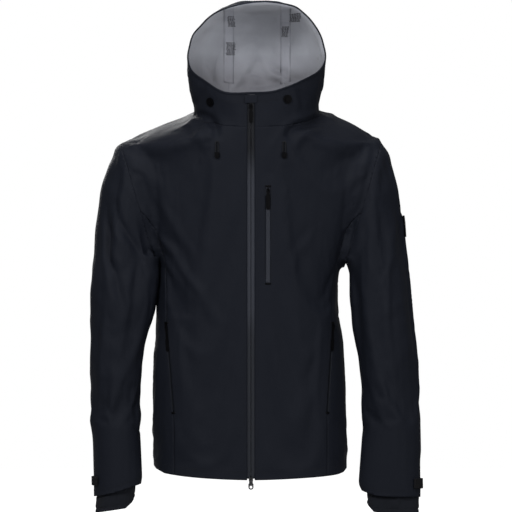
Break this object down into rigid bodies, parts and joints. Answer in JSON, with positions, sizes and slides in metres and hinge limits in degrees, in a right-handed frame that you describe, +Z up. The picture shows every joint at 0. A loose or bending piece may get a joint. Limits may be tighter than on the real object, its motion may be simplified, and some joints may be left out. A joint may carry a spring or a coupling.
{
  "type": "hardshell jacket",
  "caption": "Hooded waterproof shell jacket, zipped up with the hood raised, with a two-way front zip, a chest pocket, hand pockets, inner cuffs and cuff tabs.",
  "frame": {"origin": "middle of the hanger loop's flat underside, inside the back of the neck, where it rests on a hook", "axes": "+Z up, the front zip faces -Y, +X is the wearer's left"},
  "size_m": [0.6461, 0.2561, 0.9922],
  "materials": {
    "shell_fabric": "matt black woven face of a three-layer laminate",
    "lining_fabric": "mid-grey bonded tricot backing, satin",
    "laminated_zip": "charcoal zip tape with a smooth water-resistant film",
    "stretch_cuff": "soft black stretch jersey",
    "cord": "braided black cord",
    "hook_and_loop": "black hook-and-loop tab",
    "black_hardware": "matt black moulded",
    "moulded_pull": "soft black moulded grip",
    "metal_pull": "satin zinc-grey metal",
    "badge_print": "pale blank transfer patch"
  },
  "bodies": {
    "torso": {"front_left_panel": "shell_fabric", "front_right_panel": "shell_fabric", "left_side_panel": "shell_fabric", "right_side_panel": "shell_fabric", "back_panel": "shell_fabric", "back_yoke": "shell_fabric", "collar": "shell_fabric", "main_zip_left_tape": "laminated_zip", "main_zip_right_tape": "laminated_zip", "main_zip_retainer_box": "black_hardware", "main_zip_garage": "moulded_pull", "storm_flap": "lining_fabric", "chest_zip_tape": "laminated_zip", "chest_pocket_bag": "lining_fabric", "left_pocket_zip_tape": "laminated_zip", "right_pocket_zip_tape": "laminated_zip", "left_pocket_bag": "lining_fabric", "right_pocket_bag": "lining_fabric", "hem_facing": "lining_fabric", "hem_drawcord": "cord", "left_hem_cord_lock": "black_hardware", "right_hem_cord_lock": "black_hardware", "hanger_loop": "cord", "neck_label": "lining_fabric", "left_hood_cord_lock": "black_hardware", "right_hood_cord_lock": "black_hardware"},
    "hood": {"hood_centre_panel": "shell_fabric", "hood_left_panel": "shell_fabric", "hood_right_panel": "shell_fabric", "hood_brim": "shell_fabric", "rear_hood_cord_lock": "black_hardware"},
    "left_sleeve_body": {"left_sleeve": "shell_fabric", "left_inner_cuff": "stretch_cuff", "left_cuff_loop_patch": "hook_and_loop", "sleeve_badge": "badge_print"},
    "right_sleeve_body": {"right_sleeve": "shell_fabric", "right_inner_cuff": "stretch_cuff", "right_cuff_loop_patch": "hook_and_loop"},
    "left_tab": {"left_cuff_tab": "hook_and_loop"},
    "right_tab": {"right_cuff_tab": "hook_and_loop"},
    "upper_slider": {"main_upper_slider": "black_hardware"},
    "upper_puller": {"main_upper_puller": "moulded_pull"},
    "lower_slider": {"main_lower_slider": "black_hardware"},
    "lower_puller": {"main_lower_puller": "metal_pull"},
    "chest_slider": {"chest_zip_slider": "black_hardware"},
    "chest_puller": {"chest_zip_puller": "moulded_pull"},
    "left_pocket_slider": {"left_pocket_zip_slider": "black_hardware"},
    "left_pocket_puller": {"left_pocket_zip_puller": "moulded_pull"},
    "right_pocket_slider": {"right_pocket_zip_slider": "black_hardware"},
    "right_pocket_puller": {"right_pocket_zip_puller": "moulded_pull"},
    "left_lock_button": {"left_hood_lock_button": "black_hardware"},
    "right_lock_button": {"right_hood_lock_button": "black_hardware"},
    "rear_lock_button": {"rear_hood_lock_button": "black_hardware"},
    "left_cord_end": {"left_hood_cord": "cord", "left_cord_toggle": "black_hardware"},
    "right_cord_end": {"right_hood_cord": "cord", "right_cord_toggle": "black_hardware"}
  },
  "joints": [
    {"name": "hood_tilt", "type": "hinge", "parent": "torso", "child": "hood", "pos_m": [0.011, 0.0268, 0.0275], "axis": [-1, 0, 0], "range_deg": [0, 25]},
    {"name": "left_sleeve_swing", "type": "hinge", "parent": "torso", "child": "left_sleeve_body", "pos_m": [0.2563, -0.0692, -0.0625], "axis": [0, -1, 0], "range_deg": [0, 25]},
    {"name": "right_sleeve_swing", "type": "hinge", "parent": "torso", "child": "right_sleeve_body", "pos_m": [-0.2563, -0.0692, -0.0625], "axis": [0, 1, 0], "range_deg": [0, 25]},
    {"name": "left_tab_peel", "type": "hinge", "parent": "left_sleeve_body", "child": "left_tab", "pos_m": [0.29, -0.0907, -0.73], "axis": [0, 0, 1], "range_deg": [0, 60]},
    {"name": "right_tab_peel", "type": "hinge", "parent": "right_sleeve_body", "child": "right_tab", "pos_m": [-0.268, -0.0812, -0.725], "axis": [0, 0, -1], "range_deg": [0, 60]},
    {"name": "upper_zip_slide", "type": "slide", "parent": "torso", "child": "upper_slider", "axis": [0, 0, -1], "range_m": [0, 0.48]},
    {"name": "upper_pull_flip", "type": "hinge", "parent": "upper_slider", "child": "upper_puller", "pos_m": [0, -0.196, 0.002], "axis": [-1, 0, 0], "range_deg": [0, 150]},
    {"name": "lower_zip_slide", "type": "slide", "parent": "torso", "child": "lower_slider", "axis": [0, 0, 1], "range_m": [0, 0.17]},
    {"name": "lower_pull_flip", "type": "hinge", "parent": "lower_slider", "child": "lower_puller", "pos_m": [0, -0.196, -0.717], "axis": [-1, 0, 0], "range_deg": [0, 150]},
    {"name": "chest_zip_slide", "type": "slide", "parent": "torso", "child": "chest_slider", "axis": [0, -0.0005, -1], "range_m": [0, 0.16]},
    {"name": "chest_pull_flip", "type": "hinge", "parent": "chest_slider", "child": "chest_puller", "pos_m": [0.03306, -0.1949, -0.1595], "axis": [-0.9995, -0.0315, 0], "range_deg": [0, 150]},
    {"name": "left_pocket_zip_slide", "type": "slide", "parent": "torso", "child": "left_pocket_slider", "axis": [-0.063, -0.1246, -0.9902], "range_m": [0, 0.145]},
    {"name": "left_pocket_pull_flip", "type": "hinge", "parent": "left_pocket_slider", "child": "left_pocket_puller", "pos_m": [0.16002, -0.1398, -0.42338], "axis": [-0.6885, -0.7129, 0.1335], "range_deg": [0, 150]},
    {"name": "right_pocket_zip_slide", "type": "slide", "parent": "torso", "child": "right_pocket_slider", "axis": [0.0805, -0.0686, -0.9944], "range_m": [0, 0.145]},
    {"name": "right_pocket_pull_flip", "type": "hinge", "parent": "right_pocket_slider", "child": "right_pocket_puller", "pos_m": [-0.16478, -0.15224, -0.42347], "axis": [-0.7684, 0.6312, -0.1058], "range_deg": [0, 150]},
    {"name": "left_lock_press", "type": "slide", "parent": "torso", "child": "left_lock_button", "axis": [-0.3316, 0.9411, 0.0662], "range_m": [0, 0.0014], "stiffness_N_per_m": 300},
    {"name": "right_lock_press", "type": "slide", "parent": "torso", "child": "right_lock_button", "axis": [0.642, 0.7524, 0.1475], "range_m": [0, 0.0014], "stiffness_N_per_m": 300},
    {"name": "rear_lock_press", "type": "slide", "parent": "hood", "child": "rear_lock_button", "axis": [0, -1, 0], "range_m": [0, 0.0014], "stiffness_N_per_m": 300},
    {"name": "left_cord_swing", "type": "hinge", "parent": "torso", "child": "left_cord_end", "pos_m": [0.06418, -0.19173, -0.06697], "axis": [-0.9937, -0.1122, 0.0023], "range_deg": [0, 80]},
    {"name": "right_cord_swing", "type": "hinge", "parent": "torso", "child": "right_cord_end", "pos_m": [-0.06518, -0.19136, -0.06696], "axis": [-0.9937, 0.1121, -0.0025], "range_deg": [0, 80]}
  ]
}
